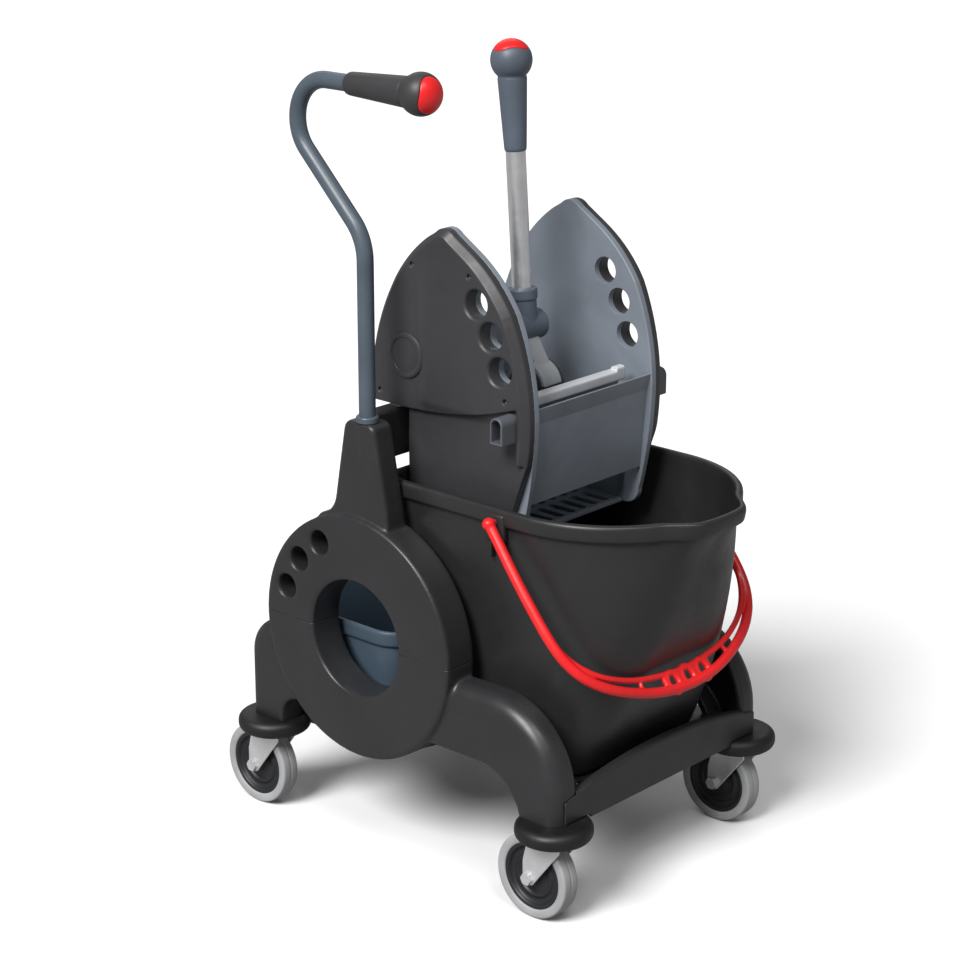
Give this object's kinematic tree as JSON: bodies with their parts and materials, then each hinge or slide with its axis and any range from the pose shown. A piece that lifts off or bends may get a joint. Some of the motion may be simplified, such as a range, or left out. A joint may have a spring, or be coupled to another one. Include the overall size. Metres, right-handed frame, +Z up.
{
  "type": "mop and bucket with wringer",
  "caption": "Mopping trolley: a large water bucket and a small bucket on a castor frame, with a lever-worked mop wringer, a push handle and a red carrying bail.",
  "frame": {"origin": "on the ground, in the middle of the whole trolley's box seen from above", "axes": "+X to the right (the width), +Y to the rear (the push-handle end), -Y to the front (the bail and the pouring lip), +Z up"},
  "size_m": [0.4239, 0.618, 0.9363],
  "materials": {
    "frame_plastic": "fine-grained satin black moulding",
    "bumper_rubber": "soft matt black",
    "bucket_plastic": "satin black moulding",
    "cover_plastic": "satin black moulding with fine grain",
    "wringer_grey": "satin blue-grey moulding",
    "wringer_dark": "satin dark grey moulding",
    "jaw_light": "satin light grey moulding",
    "small_bucket_blue": "satin slate-blue moulding",
    "handle_paint": "satin slate powder coat",
    "grip_black": "satin soft-touch black",
    "grip_slate": "satin slate soft-touch",
    "red_plastic": "semi-gloss red",
    "aluminium": "satin anodised tube",
    "cast_grey": "satin light-grey casting",
    "zinc_steel": "bright zinc-plated pressing",
    "dark_steel": "plain steel",
    "hub_plastic": "dark grey moulding",
    "tyre_rubber": "grey non-marking rubber",
    "bush_plastic": "natural grey nylon"
  },
  "bodies": {
    "frame": {"castor_plates": "zinc_steel", "castor_kingpins": "zinc_steel", "corner_bumpers": "bumper_rubber", "side_frame_lower_left": "frame_plastic", "side_frame_lower_right": "frame_plastic", "side_frame_upper_left": "frame_plastic", "side_frame_upper_right": "frame_plastic", "base_tray": "frame_plastic", "front_beam": "frame_plastic", "rear_beam": "frame_plastic", "wringer_crossbeam": "frame_plastic", "push_handle_tube": "handle_paint", "push_handle_collar": "handle_paint", "push_handle_grip": "grip_black", "push_handle_cap": "red_plastic", "bucket": "bucket_plastic", "wringer_side_left": "wringer_grey", "wringer_side_right": "wringer_grey", "wringer_cover_left": "cover_plastic", "wringer_cover_right": "cover_plastic", "side_peg_left": "wringer_dark", "side_peg_right": "wringer_dark", "medallion_left": "cover_plastic", "medallion_right": "cover_plastic", "cover_screws": "dark_steel", "wringer_front_panel": "wringer_grey", "wringer_rear_wall": "wringer_grey", "wringer_drip_grid": "wringer_grey", "wringer_hooks": "zinc_steel", "shaft_bush": "bush_plastic", "return_spring": "dark_steel"},
    "lever": {"pivot_shaft": "dark_steel", "lever_drum": "grip_black", "lever_yoke": "cast_grey", "lever_socket": "grip_slate", "lever_tube": "aluminium", "lever_grip": "grip_slate", "lever_cap": "red_plastic", "press_plate": "jaw_light"},
    "bail": {"bail": "red_plastic"},
    "rear_bucket": {"rear_bucket": "small_bucket_blue"},
    "castor_swivel_front_left": {"castor_fork_front_left": "zinc_steel", "castor_axle_front_left": "zinc_steel"},
    "castor_wheel_front_left": {"castor_hub_front_left": "hub_plastic", "castor_tyre_front_left": "tyre_rubber"},
    "castor_swivel_front_right": {"castor_fork_front_right": "zinc_steel", "castor_axle_front_right": "zinc_steel"},
    "castor_wheel_front_right": {"castor_hub_front_right": "hub_plastic", "castor_tyre_front_right": "tyre_rubber"},
    "castor_swivel_rear_left": {"castor_fork_rear_left": "zinc_steel", "castor_axle_rear_left": "zinc_steel"},
    "castor_wheel_rear_left": {"castor_hub_rear_left": "hub_plastic", "castor_tyre_rear_left": "tyre_rubber"},
    "castor_swivel_rear_right": {"castor_fork_rear_right": "zinc_steel", "castor_axle_rear_right": "zinc_steel"},
    "castor_wheel_rear_right": {"castor_hub_rear_right": "hub_plastic", "castor_tyre_rear_right": "tyre_rubber"}
  },
  "joints": [
    {"name": "lever_turn", "type": "hinge", "parent": "frame", "child": "lever", "pos_m": [0, -0.03205, 0.55], "axis": [1, 0, 0], "range_deg": [0, 40], "stiffness_Nm_per_rad": 4, "springref_deg": -8.59},
    {"name": "bail_swing", "type": "hinge", "parent": "frame", "child": "bail", "pos_m": [0, -0.10705, 0.44], "axis": [-1, 0, 0], "range_deg": [0, 130]},
    {"name": "rear_bucket_slide", "type": "slide", "parent": "frame", "child": "rear_bucket", "axis": [0, 1, 0], "range_m": [0, 0.15]},
    {"name": "swivel_front_left", "type": "hinge", "parent": "frame", "child": "castor_swivel_front_left", "pos_m": [-0.168, -0.20975, 0.103], "axis": [0, 0, 1], "continuous": true},
    {"name": "roll_front_left", "type": "hinge", "parent": "castor_swivel_front_left", "child": "castor_wheel_front_left", "pos_m": [-0.168, -0.18635, 0.05], "axis": [1, 0, 0], "continuous": true},
    {"name": "swivel_front_right", "type": "hinge", "parent": "frame", "child": "castor_swivel_front_right", "pos_m": [0.168, -0.20975, 0.103], "axis": [0, 0, 1], "continuous": true},
    {"name": "roll_front_right", "type": "hinge", "parent": "castor_swivel_front_right", "child": "castor_wheel_front_right", "pos_m": [0.168, -0.18635, 0.05], "axis": [1, 0, 0], "continuous": true},
    {"name": "swivel_rear_left", "type": "hinge", "parent": "frame", "child": "castor_swivel_rear_left", "pos_m": [-0.168, 0.23565, 0.103], "axis": [0, 0, 1], "continuous": true},
    {"name": "roll_rear_left", "type": "hinge", "parent": "castor_swivel_rear_left", "child": "castor_wheel_rear_left", "pos_m": [-0.168, 0.25905, 0.05], "axis": [1, 0, 0], "continuous": true},
    {"name": "swivel_rear_right", "type": "hinge", "parent": "frame", "child": "castor_swivel_rear_right", "pos_m": [0.168, 0.23565, 0.103], "axis": [0, 0, 1], "continuous": true},
    {"name": "roll_rear_right", "type": "hinge", "parent": "castor_swivel_rear_right", "child": "castor_wheel_rear_right", "pos_m": [0.168, 0.25905, 0.05], "axis": [1, 0, 0], "continuous": true}
  ]
}
